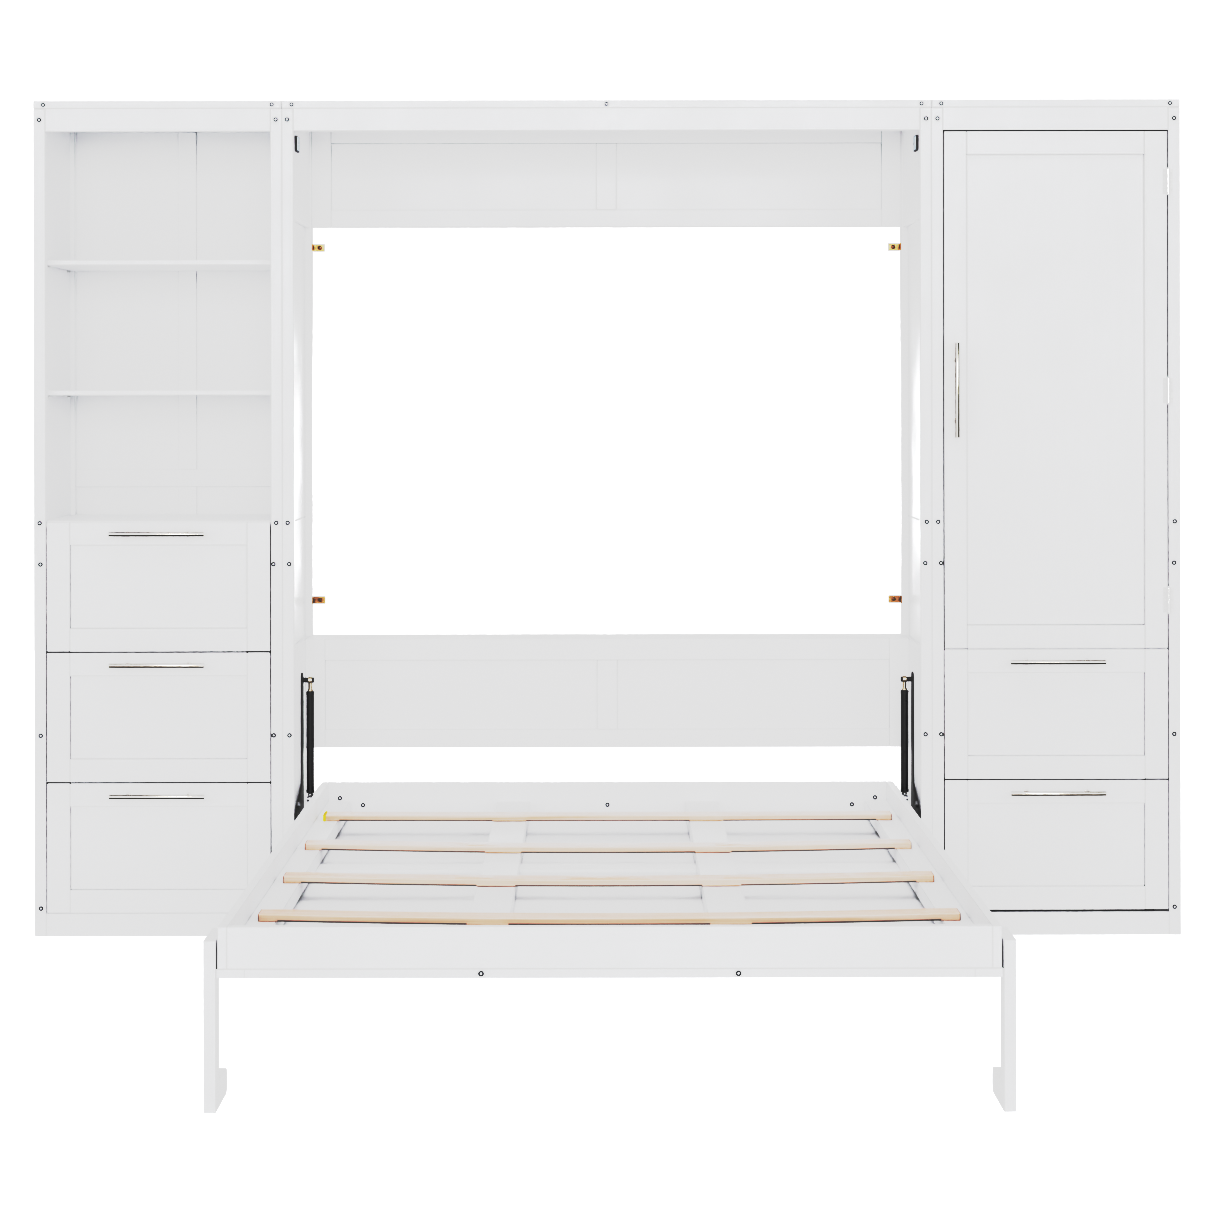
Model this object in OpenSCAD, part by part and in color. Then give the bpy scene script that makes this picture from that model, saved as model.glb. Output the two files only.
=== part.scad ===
// Wall bed suite: a fold-down bed in an open frame between two storage towers.
// Left tower: open shelves over three drawers. Right tower: tall hinged door over two drawers.
// The bed turns on two pins near its head, carried by gas struts, and stands on two folding legs.
// Millimetres. X across the suite, -Y towards the room, +Z up, origin at the centre of the
// bounding box on the floor. Rest position: bed down, legs out, doors and drawers shut.

/* [Suite] */
// Width of one storage tower
tower_w = 655; // [500:5:800]
// Width of the bed frame between the towers
centre_w = 1715; // [1500:5:1900]
// Height of the suite
suite_h = 2205; // [2100:5:2400]
// Depth from the front plane to the rear of the posts
suite_d = 440; // [380:5:520]
// Side of the square posts
post = 30; // [25:1:45]
// How much further in the centre frame's rear posts stand than its front posts
post_step = 5.5; // [0:0.5:10]
// Thickness of the top boards
top_t = 19.5; // [15:0.5:25]
// Height of the rails under the top boards and along the floor
rail_h = 60; // [40:1:90]
// Thickness of the cabinet boards
board_t = 18; // [15:0.5:22]

/* [Storage] */
// Height of one drawer front
drawer_h = 341; // [200:1:400]
// Gap above the door and at the sides of door and drawer fronts
front_gap = 3; // [2:0.5:5]
// Gap between the door and the rail over it
door_top_gap = 4.5; // [2:0.5:6]
// Gap between drawer fronts, and between door and drawers
drawer_gap = 4; // [2:0.5:6]
// Gap under the lowest drawer front of the left tower
left_low_gap = 2; // [1:0.5:8]
// Gap under the lowest drawer front of the right tower
right_low_gap = 7; // [1:0.5:8]
// Thickness of drawer fronts and door
front_t = 19; // [16:0.5:25]
// Width of the frame around each recessed panel
shaker_w = 60; // [40:1:90]
// Depth of the recess in front of each panel
shaker_recess = 7; // [4:0.5:10]
// Depth of the drawer boxes behind their fronts
drawer_depth = 385; // [300:5:400]
// Height of the drawer boxes
drawer_box_h = 260; // [120:5:280]
// Heights of the tops of the loose shelves
shelf_tops = [1441, 1787]; // [1200:1:2100]
// Thickness of the loose shelves
shelf_t = 12.5; // [10:0.5:22]

/* [Handles] */
// Length of the bar handles
handle_len = 250; // [150:5:400]
// Distance between the handle's two feet
handle_feet = 160; // [96:32:320]
// Diameter of the handle's bar
handle_d = 12; // [8:0.5:16]
// Distance from the front face to the bar's axis
handle_out = 35; // [25:1:45]
// Height of the door handle's middle
door_handle_z = 1438; // [1000:1:1700]

/* [Bed] */
// Width between the side rails, for a 1524 mm mattress
mattress_w = 1524; // [1370:1:1830]
// Distance from the front plane back to the head end of the lowered bed
bed_head_y = 266; // [200:1:320]
// Length of the bed
bed_len = 2069; // [1900:1:2150]
// Thickness of the bed's rails and face panel
bed_t = 18; // [15:1:25]
// Height of the bed's side rails
bed_rail_h = 84; // [70:1:140]
// Height of the face panel's underside above the floor
bed_face_z = 267; // [220:1:320]
// Height of the slats' upper side above the bed's floor panel
slat_rise = 51; // [40:1:80]
// Half the width of the face panel
bed_face_half = 822; // [700:1:825]
// Width of a slat
slat_w = 60; // [40:1:90]
// Thickness of a slat
slat_t = 16; // [10:1:22]
// How far the laden slats sag in the middle
slat_sag = 9; // [0:0.5:15]

/* [Legs] */
// Thickness of a leg
leg_t = 24; // [18:1:30]
// Width of a leg's upright
leg_w = 50; // [40:1:70]
// Height of a leg
leg_h = 342; // [300:1:400]
// Length of a leg's foot along the floor
leg_foot = 169; // [100:1:200]
// Length of a leg's arm beside the rail
leg_arm = 150; // [100:1:180]

/* [Mechanism] */
// Radius of the bed's pivot pins
pivot_r = 7; // [5:0.5:10]
// Radial clearance of pins in their bores
run_fit = 0.05; // [0.02:0.01:0.1]
// Outer radius of a gas strut's tube
strut_r = 10; // [7:0.5:14]
// Distance of the struts from the centre line
strut_x = 804; // [780:1:815]

/* [Hidden] */

white = [0.93, 0.93, 0.92];
pine = [0.80, 0.62, 0.42];
steel = [0.72, 0.70, 0.67];
zinc = [0.62, 0.63, 0.65];
brass_zinc = [0.78, 0.66, 0.36];
black = [0.06, 0.06, 0.07];

// Round surfaces
round_fn = 48;
// Joint line between boards of one sub-part
seam = 0.2;
// Groove around each recessed panel of the fronts
panel_groove = 1;
// How far the posts stop short of the top boards, which lie on the rails
post_short = 1.2;
// Joint between the top boards of the centre frame and the towers
top_joint = 1.6;
// Thin sheet behind each tower
back_t = 6;
// Front plane of the cabinets in the part's own frame, so that Y is centred
leg_front = 1807;
front_y = (leg_front - suite_d - back_t) / 2;

// Plan positions, Y measured back from the front plane
tower_x = centre_w / 2;
tower_mid = tower_x + tower_w / 2;
board_top = suite_h - top_t;
rail_z = board_top - rail_h;
opening = tower_w - 2 * post;
lip = post - board_t;
centre_half = centre_w / 2 - post;
rear_half = centre_half - post_step;
front_w = opening - 2 * front_gap;
// Lower edge of drawer front i, counted from the floor; side 1 is the right tower
function drawer_z(side, i) = rail_h + (side > 0 ? right_low_gap : left_low_gap)
    + i * (drawer_h + drawer_gap);
left_shelf_z = drawer_z(-1, 2) + drawer_h + 3;
window_top = 1896;
door_z = drawer_z(1, 2);
door_h = rail_z - door_top_gap - door_z;

// Bed: the face panel stands just behind the front plane when it is shut
bed_foot_y = bed_head_y - bed_len;
bed_floor_z = bed_face_z + bed_t;
rail_in = mattress_w / 2;
rail_out = rail_in + bed_t;
shut_face_y = 2;
shut_low_z = 50;
pivot_y = (shut_low_z + bed_head_y - bed_face_z + shut_face_y) / 2;
pivot_z = bed_face_z + pivot_y - shut_face_y;
stile_in = 727;
mid_stile_x = 256;
mid_stile_w = 88;
end_rail_w = 90;
cross_rail_y = -647;
notch_x = 783;
notch_len = 375;
slat_top = bed_floor_z + slat_rise;
slat_y = [for (i = [0:3]) bed_head_y - 345 - 460 * i];
slat_half = 739;
ledger_w = 60;
slat_free = rail_in - ledger_w - 3;
ledger_h = slat_top - slat_t - bed_floor_z;

// Legs: the stowed upright lies flush with the face panel
leg_x = rail_out + 4;
leg_pivot_y = 42 - leg_front;
leg_pivot_z = bed_face_z + leg_pivot_y + leg_front;
leg_pin_r = 6;
leg_arm_h = 54;
leg_foot_h = 52;

// Gas struts: upper stud on the frame, lower stud on the bed
stud_y = 185;
stud_top_z = 657;
stud_low_z = 335;
plate_x = 824;
stud_r = 5;
eye_r = 8.5;
eye_t = 10;
tube_top = 626;
tube_low = 352;
rod_top = 595;

bolt_r = 6.2;
top_bolt_r = 5.8;
hinge_z = [884, 1436, 1988];
hinge_h = 65;
hinge_x = tower_x + tower_w - post - 1;
hinge_y = -4.6;
knuckle_r = 4.5;

// ---- helpers -----------------------------------------------------------------------------

// Move to a point whose Y is measured back from the front plane
module at(x, y, z) translate([x, front_y + y, z]) children();

// A board given by its corners
module board(x0, x1, y0, y1, z0, z1) at(x0, y0, z0) cube([x1 - x0, y1 - y0, z1 - z0]);

// Both hands of a piece that stands on the +X side
module both() {
    children();
    mirror([1, 0, 0]) children();
}

// One hand: side 1 keeps the +X side, side -1 mirrors it
module hand(side) {
    if (side > 0) children();
    else mirror([1, 0, 0]) children();
}

// A round bar along X, Y or Z starting at a point
module bar_x(x, y, z, len, r) at(x, y, z) rotate([0, 90, 0]) cylinder(h = len, r = r, $fn = round_fn);
module bar_y(x, y, z, len, r) at(x, y, z) rotate([-90, 0, 0]) cylinder(h = len, r = r, $fn = round_fn);
module bar_z(x, y, z, len, r) at(x, y, z) cylinder(h = len, r = r, $fn = round_fn);

// A flat outline in the Y-Z plane, given as [y, z], extruded along +X
module side_outline(x, thick) at(x, 0, 0) rotate([90, 0, 90]) linear_extrude(thick) children();

// A furniture bolt's head with its hexagonal socket, standing forward of a face
module bolt_head(x, y, z, r = bolt_r, proud = 2.5) difference() {
    bar_y(x, y - proud, z, proud, r);
    at(x, y - proud - 1, z) rotate([-90, 0, 0]) cylinder(h = 3, r = r * 0.45, $fn = 6);
}

// A framed front: stiles and rails around a recessed panel, lower left corner at x0, z0
module framed_front(x0, z0, w, h) {
    for (x = [x0, x0 + w - shaker_w]) board(x, x + shaker_w, 0, front_t, z0, z0 + h);
    for (z = [z0, z0 + h - shaker_w])
        board(x0 + shaker_w + seam, x0 + w - shaker_w - seam, 0, front_t, z, z + shaker_w);
    inset = shaker_w + panel_groove;
    board(x0 + inset, x0 + w - inset, shaker_recess, shaker_recess + 6, z0 + inset, z0 + h - inset);
}

// A bar handle centred on x, z: along X, or along Z when upright
module bar_handle(x, z, upright = false) {
    if (upright) {
        bar_z(x, -handle_out, z - handle_len / 2, handle_len, handle_d / 2);
        for (s = [-1, 1]) bar_y(x, -handle_out, z + s * handle_feet / 2, handle_out, 4.5);
    } else {
        bar_x(x - handle_len / 2, -handle_out, z, handle_len, handle_d / 2);
        for (s = [-1, 1]) bar_y(x + s * handle_feet / 2, -handle_out, z, handle_out, 4.5);
    }
}

// ---- towers ------------------------------------------------------------------------------
// Each tower is drawn on the +X side and mirrored for the left one.

// Posts, the rails between them at top and floor, and the rails inside each end frame
module tower_frame(side) color(white) hand(side) {
    for (x = [tower_x, tower_x + tower_w - post]) for (y = [0, suite_d - post])
        board(x, x + post, y, y + post, 0, board_top - post_short);
    x0 = tower_x + post + seam;
    x1 = tower_x + tower_w - post - seam;
    board(x0, x1, 0, board_t, rail_z, board_top - seam);
    board(x0, x1, 0, board_t, 0, rail_h);
    board(x0, x1, suite_d - board_t, suite_d, board_top - 20, board_top - seam);
    board(x0, x1, suite_d - board_t, suite_d, 0, rail_h);
    for (z = [54, 508, 962])
        for (x = [tower_x + board_t + seam, tower_x + tower_w - post])
            board(x, x + lip - seam, post + seam, suite_d - post - seam, z, z + 40);
}

// End panels let in between the posts, flush outside
module tower_sides(side) color(white) hand(side)
    for (x = [tower_x, tower_x + tower_w - board_t])
        board(x, x + board_t, post + seam, suite_d - post - seam, 0, board_top - seam);

module tower_top(side) color(white) hand(side)
    board(tower_x + top_joint, tower_x + tower_w, 0, suite_d, board_top, suite_h);

// Two back sheets, the upright batten over their joint and one cross rail
module tower_back(side) color(white) hand(side) {
    joint = tower_mid - 38;
    board(tower_x + 1, joint - seam, suite_d + seam, suite_d + back_t, rail_h + seam, suite_h - 1);
    board(joint + seam, tower_x + tower_w, suite_d + seam, suite_d + back_t, rail_h + seam, suite_h - 1);
    for (z = [[rail_h + 2, 1172.5], [1221.5, board_top - 22]])
        board(joint, joint + 50, suite_d - 8, suite_d, z[0], z[1]);
    board(tower_x + post + seam, tower_x + tower_w - post - seam, suite_d - 12, suite_d, 1173, 1221);
}

// A fixed shelf, notched around the posts
module fixed_shelf(side, top, thick) color(white) hand(side) {
    wide = tower_w - 2 * board_t - 2 * seam;
    difference() {
        board(tower_mid - wide / 2, tower_mid + wide / 2, front_t + 1, suite_d - 13, top - thick, top);
        for (s = [-1, 1]) {
            x = tower_mid + s * wide / 2;
            board(x - lip - seam, x + lip + seam, 0, post + seam, top - 50, top + 50);
            board(x - lip - seam, x + lip + seam, suite_d - post - seam, suite_d, top - 50, top + 50);
        }
    }
}

module left_loose_shelves() color(white) hand(-1)
    for (z = shelf_tops)
        board(tower_x + board_t + 1, tower_x + tower_w - board_t - 1, 42, suite_d - post - 2,
            z - shelf_t, z);

// One side channel of a drawer runner, open towards the drawer
module runner(x, z, dir) {
    side_x = dir > 0 ? x : x - 2;
    board(side_x, side_x + 2, 24, suite_d - post + 20, z - 22, z + 22);
    for (f = [-22, 20]) {
        lip_x = dir > 0 ? x + 2 : x - 12;
        board(lip_x, lip_x + 10, 24, suite_d - post + 20, z + f, z + f + 2);
    }
}

module drawer_runners(side, count) color(steel) hand(side)
    for (i = [0:count - 1]) {
        z = drawer_z(side, i) + 95;
        runner(tower_x + post + seam, z, 1);
        runner(tower_x + tower_w - post - seam, z, -1);
    }

module hanging_rail() color(steel) {
    inner = tower_w / 2 - board_t - seam;
    bar_x(tower_mid - inner + 3, suite_d / 2, 2050, 2 * inner - 6, 12.5);
    for (s = [-1, 1]) bar_x(tower_mid + s * (inner - 1.5) - 1.5, suite_d / 2, 2050, 3, 26);
}

// ---- drawers and door --------------------------------------------------------------------

module drawer_front(side, i) color(white) hand(side)
    framed_front(tower_x + post + front_gap, drawer_z(side, i), front_w, drawer_h);

// Open box of five boards behind the front
module drawer_box(side, i) color(white) hand(side) {
    half = opening / 2 - 13;
    z0 = drawer_z(side, i) + 20;
    y0 = front_t + seam;
    y1 = y0 + drawer_depth;
    for (s = [-1, 1]) board(tower_mid + (s > 0 ? half - 12 : -half), tower_mid + (s > 0 ? half : 12 - half),
        y0, y1, z0, z0 + drawer_box_h);
    for (y = [y0, y1 - 12])
        board(tower_mid - half + 12 + seam, tower_mid + half - 12 - seam, y, y + 12, z0, z0 + drawer_box_h);
    board(tower_mid - half + 12 + seam, tower_mid + half - 12 - seam, y0 + 12 + seam, y1 - 12 - seam,
        z0 + 6, z0 + 12);
}

module drawer_handle(side, i) color(steel)
    hand(side) bar_handle(tower_mid, drawer_z(side, i) + drawer_h - shaker_w / 2);

module door() color(white)
    framed_front(tower_x + post + front_gap, door_z, front_w, door_h);

module door_handle() color(steel)
    bar_handle(tower_x + post + front_gap + shaker_w / 2, door_handle_z, true);

// Butt hinges at the door's right edge: the fixed leaf carries the pin and the end knuckles
module hinge_leaf(x0, x1, z) board(x0, x1, -1.5, 0, z, z + hinge_h);

module door_hinge_fixed() color(white)
    for (zc = hinge_z) {
        z = zc - hinge_h / 2;
        third = hinge_h / 3;
        hinge_leaf(hinge_x + 4.8, hinge_x + 13, z);
        for (k = [0, 2]) {
            bar_z(hinge_x, hinge_y, z + k * third, third, knuckle_r);
            board(hinge_x + 1, hinge_x + 5, -1.5, 0, z + k * third, z + (k + 1) * third);
        }
        bar_z(hinge_x, hinge_y, z + 1, hinge_h - 2, 2.5);
    }

module door_hinge_moving() color(white)
    for (zc = hinge_z) {
        z = zc - hinge_h / 6 + 0.15;
        tall = hinge_h / 3 - 0.3;
        hinge_leaf(hinge_x - 13, hinge_x - 4.8, zc - hinge_h / 2);
        difference() {
            union() {
                bar_z(hinge_x, hinge_y, z, tall, knuckle_r);
                board(hinge_x - 5, hinge_x - 1, -1.5, 0, z, z + tall);
            }
            bar_z(hinge_x, hinge_y, z - 1, tall + 2, 2.5 + run_fit);
        }
    }

// ---- centre frame ------------------------------------------------------------------------

module centre_frame() color(white) {
    both() board(centre_half, tower_x - seam, 0, post, 0, board_top - post_short);
    both() board(rear_half, tower_x - seam, suite_d - post, suite_d, 0, board_top - post_short);
    x1 = centre_half - seam;
    board(-x1, x1, 0, board_t, rail_z, board_top - seam);
    board(seam - rear_half, rear_half - seam, suite_d - board_t, suite_d, 0, rail_h);
}

// Side panels in two sheets, with a deep board at the top and one behind the mechanism
module centre_sides() color(white) both() {
    split = 1090;
    y0 = post + seam;
    y1 = suite_d - post - seam;
    panel_x = centre_half + lip;
    board(panel_x + seam, centre_w / 2 - seam, y0, y1, 0, split - seam);
    board(panel_x + seam, centre_w / 2 - seam, y0, y1, split, board_top - seam);
    board(centre_half, panel_x, y0, y1, 0, 758);
    board(centre_half, panel_x, y0, y1, window_top - 2, board_top - seam);
}

module centre_top() color(white) board(-tower_x, tower_x, 0, suite_d, board_top, suite_h);

// A frame with stiles at both ends and in the middle around two recessed panels
module back_frame(half, y, z0, z1, low, high) {
    end = 53;
    mid = 54;
    both() board(half - end, half, y, y + front_t, z0, z1);
    for (z = [[z0, z0 + low], [z1 - high, z1]])
        board(-half + end + seam, half - end - seam, y, y + front_t, z[0], z[1]);
    board(-mid / 2, mid / 2, y, y + front_t, z0 + low + seam, z1 - high - seam);
    both() board(mid / 2 + seam, half - end - seam, y + shaker_recess, y + shaker_recess + 6,
        z0 + low + seam, z1 - high - seam);
}

module upper_back_panel() color(white)
    back_frame(rear_half - seam, suite_d - front_t - 1, window_top, board_top - seam, 48, 56);

module headboard() color(white) back_frame(centre_half - seam, 283, 462, 758, 48, 58);

// The ledge behind the headboard, its strip between the rear posts and the rail that carries it
module headboard_ledge() color(white) {
    half = centre_half - seam;
    rear = rear_half - seam;
    joint = suite_d - post - seam;
    board(-half, half, 283 + front_t + seam, joint, 758 - front_t, 758);
    board(-rear, rear, joint + seam, 433, 758 - front_t, 758);
    board(-rear, rear, 414, 433, 640, 758 - front_t - seam);
}

// L brackets in the rear corners of the window, each drilled for one wall screw
module wall_brackets() color(brass_zinc) both()
    for (z = [855, 1840]) {
        difference() {
            board(rear_half - 34, rear_half - seam, suite_d - 3, suite_d, z - 10, z + 10);
            bar_y(rear_half - 20, suite_d - 5, z, 10, 3);
        }
        board(rear_half - 3, rear_half - seam, suite_d - 30, suite_d - 3, z - 10, z + 10);
    }

module catch_plates() color(black) both()
    board(centre_half - 6.7, centre_half - seam, 38, 96, 2076, 2116);

// Steel plate on each side with the bed's pivot pin, its collar and the upper strut stud
module pivot_plates() color(black) both() {
    thick = centre_half - seam - plate_x;
    side_outline(plate_x, thick) {
        translate([stud_y - 20, 270]) square([40, stud_top_z - 270]);
        translate([stud_y, stud_top_z]) circle(r = 20, $fn = round_fn);
        polygon([[pivot_y - 22, 262], [stud_y + 20, 262], [stud_y + 20, 380],
            [stud_y - 20, 380], [pivot_y - 22, 322]]);
    }
    bar_x(rail_out + 0.5, pivot_y, pivot_z, plate_x - rail_out, pivot_r);
    bar_x(plate_x - 5, pivot_y, pivot_z, 5.5, 11);
    sleeve_x = strut_x + eye_t / 2 + 0.5;
    bar_x(strut_x - eye_t / 2 - 0.5, stud_y, stud_top_z, plate_x - strut_x + eye_t / 2 + 1, stud_r);
    bar_x(sleeve_x, stud_y, stud_top_z, plate_x - sleeve_x + 0.5, 6.5);
    bar_x(strut_x - eye_t / 2 - 5, stud_y, stud_top_z, 4.5, 7);
}

// Bolt heads on the posts and in the front edges of the top boards
module frame_bolts() color(zinc) {
    upper_z = [1091, 2155.5];
    lower_z = [530, 982];
    both() {
        for (z = upper_z) {
            bolt_head(tower_x + tower_w - 14.5, 0, z);
            bolt_head(tower_x + 16, 0, z);
            bolt_head(tower_x - 14, 0, z);
        }
        for (z = lower_z) {
            bolt_head(tower_x + tower_w - 16.5, 0, z);
            bolt_head(tower_x + 23.5, 0, z);
            bolt_head(tower_x - 18, 0, z);
        }
        bolt_head(tower_x + tower_w - 16.5, 0, 74);
        for (x = [tower_x - 26, tower_x + 26, tower_x + tower_w - 25])
            bolt_head(x, 0, board_top + top_t / 2, top_bolt_r);
    }
    bolt_head(0, 0, board_top + top_t / 2, top_bolt_r);
}

// ---- bed ---------------------------------------------------------------------------------

// Stiles and rails of the face that shows when the bed is shut, notched for the stowed legs
module bed_face_frame() color(white) {
    inner = stile_in - seam;
    both() difference() {
        board(stile_in, bed_face_half, bed_foot_y, bed_head_y, bed_face_z, bed_floor_z);
        board(notch_x, bed_face_half + 1, bed_foot_y - 1, bed_foot_y + notch_len, bed_face_z - 1,
            bed_floor_z + 1);
        bar_x(rail_out, pivot_y, pivot_z, 60, 17);
    }
    for (y = [[bed_foot_y, bed_foot_y + end_rail_w], [cross_rail_y, cross_rail_y + mid_stile_w],
            [bed_head_y - end_rail_w, bed_head_y]])
        board(-inner, inner, y[0], y[1], bed_face_z, bed_floor_z);
    for (y = face_rows) both()
        board(mid_stile_x - mid_stile_w / 2, mid_stile_x + mid_stile_w / 2, y[0] + seam, y[1] - seam,
            bed_face_z, bed_floor_z);
}

// Open stretches of the face between its cross rails
face_rows = [[bed_foot_y + end_rail_w, cross_rail_y], [cross_rail_y + mid_stile_w, bed_head_y - end_rail_w]];

module bed_face_panels() color(white)
    for (y = face_rows) {
        z0 = bed_face_z + 5;
        gap = mid_stile_w / 2 + seam;
        both() board(mid_stile_x + gap, stile_in - seam, y[0] + seam, y[1] - seam, z0, z0 + 7);
        board(-mid_stile_x + gap, mid_stile_x - gap, y[0] + seam, y[1] - seam, z0, z0 + 7);
    }

// Side rails, bored for the leg pins
module bed_side_rails() color(white) both() difference() {
    board(rail_in, rail_out, bed_foot_y, bed_head_y, bed_floor_z + seam, bed_floor_z + bed_rail_h);
    bar_x(rail_in - 1, leg_pivot_y, leg_pivot_z, bed_t + 2, leg_pin_r + run_fit);
}

module bed_cross_rail(y) color(white)
    board(-rail_in + seam, rail_in - seam, y, y + bed_t, bed_floor_z + seam, bed_floor_z + bed_rail_h);

module bed_ledgers() color(white) both()
    board(rail_in - ledger_w, rail_in - seam, bed_foot_y + bed_t + 35, bed_head_y - bed_t - 8,
        bed_floor_z + seam, bed_floor_z + ledger_h - 0.3);

// Lengthwise boards under the slats, lower where the slats sag
module bed_centre_boards() color(white) both() {
    low = bed_floor_z + ledger_h - slat_sag;
    high = bed_floor_z + ledger_h - 2;
    side_outline(mid_stile_x - mid_stile_w / 2 + 1, mid_stile_w - 2) polygon([
        [bed_foot_y + bed_t + 1, bed_floor_z + seam], [bed_head_y - bed_t - 1, bed_floor_z + seam],
        [bed_head_y - bed_t - 1, high], [slat_y[0] - slat_w, high], [slat_y[1] + slat_w, low],
        [bed_foot_y + bed_t + 1, low]]);
}

// Drop of a slat at a distance x from the middle; it lies flat on the ledgers
function sag_at(x, depth) = -depth * max(0, 1 - pow(x / slat_free, 2));

// Sagging slats; the one nearest the head stays almost straight
module bed_slats() color(pine) for (i = [0:3]) {
    depth = i == 0 ? 1.5 : slat_sag;
    steps = 18;
    xs = concat([-slat_half], [for (k = [1:steps - 1]) slat_free * (2 * (k - 1) / (steps - 2) - 1)],
        [slat_half]);
    at(0, slat_y[i] + slat_w / 2, slat_top) rotate([90, 0, 0]) linear_extrude(slat_w) polygon(concat(
        [for (x = xs) [x, sag_at(x, depth)]],
        [for (k = [steps:-1:0]) [xs[k], sag_at(xs[k], depth) - slat_t]]));
}

// Steel arm outside each side rail: bore for the pivot pin and boss for the strut
module bed_hinge_arms() color(black) both() {
    difference() {
        side_outline(rail_out + seam, 5.8) {
            translate([pivot_y, 300]) square([215, 62]);
            polygon([[pivot_y - 16, pivot_z], [pivot_y, 362], [pivot_y + 40, 362], [pivot_y + 40, 300],
                [pivot_y, pivot_z]]);
            translate([pivot_y, pivot_z]) circle(r = 16, $fn = round_fn);
        }
        bar_x(rail_out - 1, pivot_y, pivot_z, 10, pivot_r + run_fit);
    }
    bar_x(rail_out + 5.5, stud_y, stud_low_z, strut_x - eye_t / 2 - 0.8 - rail_out - 5.5, 8);
}

// Leg pins through the side rails, arm bolts, head-rail bolts and the bolts in the foot edge
module bed_bolts() color(zinc) {
    both() {
        bar_x(rail_in - 4, leg_pivot_y, leg_pivot_z, leg_x + leg_t + 4.3 - rail_in, leg_pin_r);
        bar_x(leg_x + leg_t + 0.3, leg_pivot_y, leg_pivot_z, 3.5, 10);
        bar_x(rail_in - 4, leg_pivot_y, leg_pivot_z, 3.7, 10);
        for (p = [[60, 345], [60, 318], [150, 348], [225, 318], [225, 348]])
            bar_x(rail_out + 6.1, p[0], p[1], 2.5, 6);
        bolt_head(730, bed_head_y - bed_t, 328, 6);
        bolt_head(667, bed_head_y - bed_t, 309, 6);
        bolt_head(mid_stile_x, bed_foot_y, bed_face_z + bed_t / 2, top_bolt_r);
    }
    bolt_head(0, bed_head_y - bed_t, 309, 6);
}

// ---- legs and struts ---------------------------------------------------------------------

// C-shaped leg: upright, arm beside the rail and foot on the floor with rounded heel corners
module leg(side) color(white) hand(side) difference() {
    side_outline(leg_x, leg_t) {
        translate([-leg_front, 0]) square([leg_w, leg_h]);
        translate([-leg_front, leg_h - leg_arm_h]) square([leg_arm - 12, leg_arm_h]);
        translate([leg_arm - 12 - leg_front, leg_h - leg_arm_h + 12]) square([12, leg_arm_h - 24]);
        for (z = [leg_h - 12, leg_h - leg_arm_h + 12])
            translate([leg_arm - 12 - leg_front, z]) circle(r = 12, $fn = round_fn);
        translate([-leg_front, 0]) square([leg_foot - 16, leg_foot_h]);
        translate([leg_foot - 16 - leg_front, 16]) square([16, leg_foot_h - 32]);
        for (z = [16, leg_foot_h - 16])
            translate([leg_foot - 16 - leg_front, z]) circle(r = 16, $fn = round_fn);
    }
    bar_x(leg_x - 1, leg_pivot_y, leg_pivot_z, leg_t + 2, leg_pin_r + run_fit);
}

// A strut's end fitting: a bored eye on a short neck
module strut_eye(z, neck_from, neck_to) difference() {
    union() {
        bar_x(strut_x - eye_t / 2, stud_y, z, eye_t, eye_r);
        bar_z(strut_x, stud_y, neck_from, neck_to - neck_from, 5);
    }
    bar_x(strut_x - eye_t, stud_y, z, 2 * eye_t, stud_r + run_fit);
}

// Cylinder of the gas strut, hung from the frame's stud; its lower guide fits the rod
module strut_tube(side) color(black) hand(side) {
    strut_eye(stud_top_z, tube_top, stud_top_z - 7);
    difference() {
        bar_z(strut_x, stud_y, tube_low, tube_top - tube_low, strut_r);
        bar_z(strut_x, stud_y, tube_low + 10, tube_top - tube_low - 16, strut_r - 1.5);
        bar_z(strut_x, stud_y, tube_low - 1, 20, stud_r + run_fit);
    }
}

// Piston rod with its lower eye and the bolt through it, which lines up with the bed's boss
module strut_rod(side) color(zinc) hand(side) {
    strut_eye(stud_low_z, stud_low_z + 7, tube_low - 1);
    bar_z(strut_x, stud_y, tube_low - 2, rod_top - tube_low + 2, stud_r);
    bar_z(strut_x, stud_y, rod_top - 8, 8, strut_r - 1.5 - run_fit);
    bar_x(strut_x - eye_t / 2 - 0.3, stud_y, stud_low_z, eye_t + 3, stud_r);
    bar_x(strut_x + eye_t / 2 + 0.3, stud_y, stud_low_z, 4, 7);
}

// ---- assembly ----------------------------------------------------------------------------

tower_frame(-1);  // left_tower_frame
tower_sides(-1);  // left_tower_sides
tower_top(-1);  // left_tower_top
tower_back(-1);  // left_tower_back
fixed_shelf(-1, left_shelf_z, board_t);  // left_fixed_shelf
left_loose_shelves();
drawer_runners(-1, 3);  // left_drawer_runners
tower_frame(1);  // right_tower_frame
tower_sides(1);  // right_tower_sides
tower_top(1);  // right_tower_top
tower_back(1);  // right_tower_back
fixed_shelf(1, door_z, board_t);  // right_fixed_shelf
hanging_rail();
drawer_runners(1, 2);  // right_drawer_runners
centre_frame();
centre_sides();
centre_top();
upper_back_panel();
headboard();
headboard_ledge();
wall_brackets();
catch_plates();
pivot_plates();
frame_bolts();
door_hinge_fixed();
bed_face_frame();
bed_face_panels();
bed_side_rails();
bed_cross_rail(bed_head_y - bed_t);  // bed_head_rail
bed_cross_rail(bed_foot_y);  // bed_foot_rail
bed_ledgers();
bed_centre_boards();
bed_slats();
bed_hinge_arms();
bed_bolts();
leg(-1);  // leg_left
leg(1);  // leg_right
strut_tube(-1);  // strut_tube_left
strut_rod(-1);  // strut_rod_left
strut_tube(1);  // strut_tube_right
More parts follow.
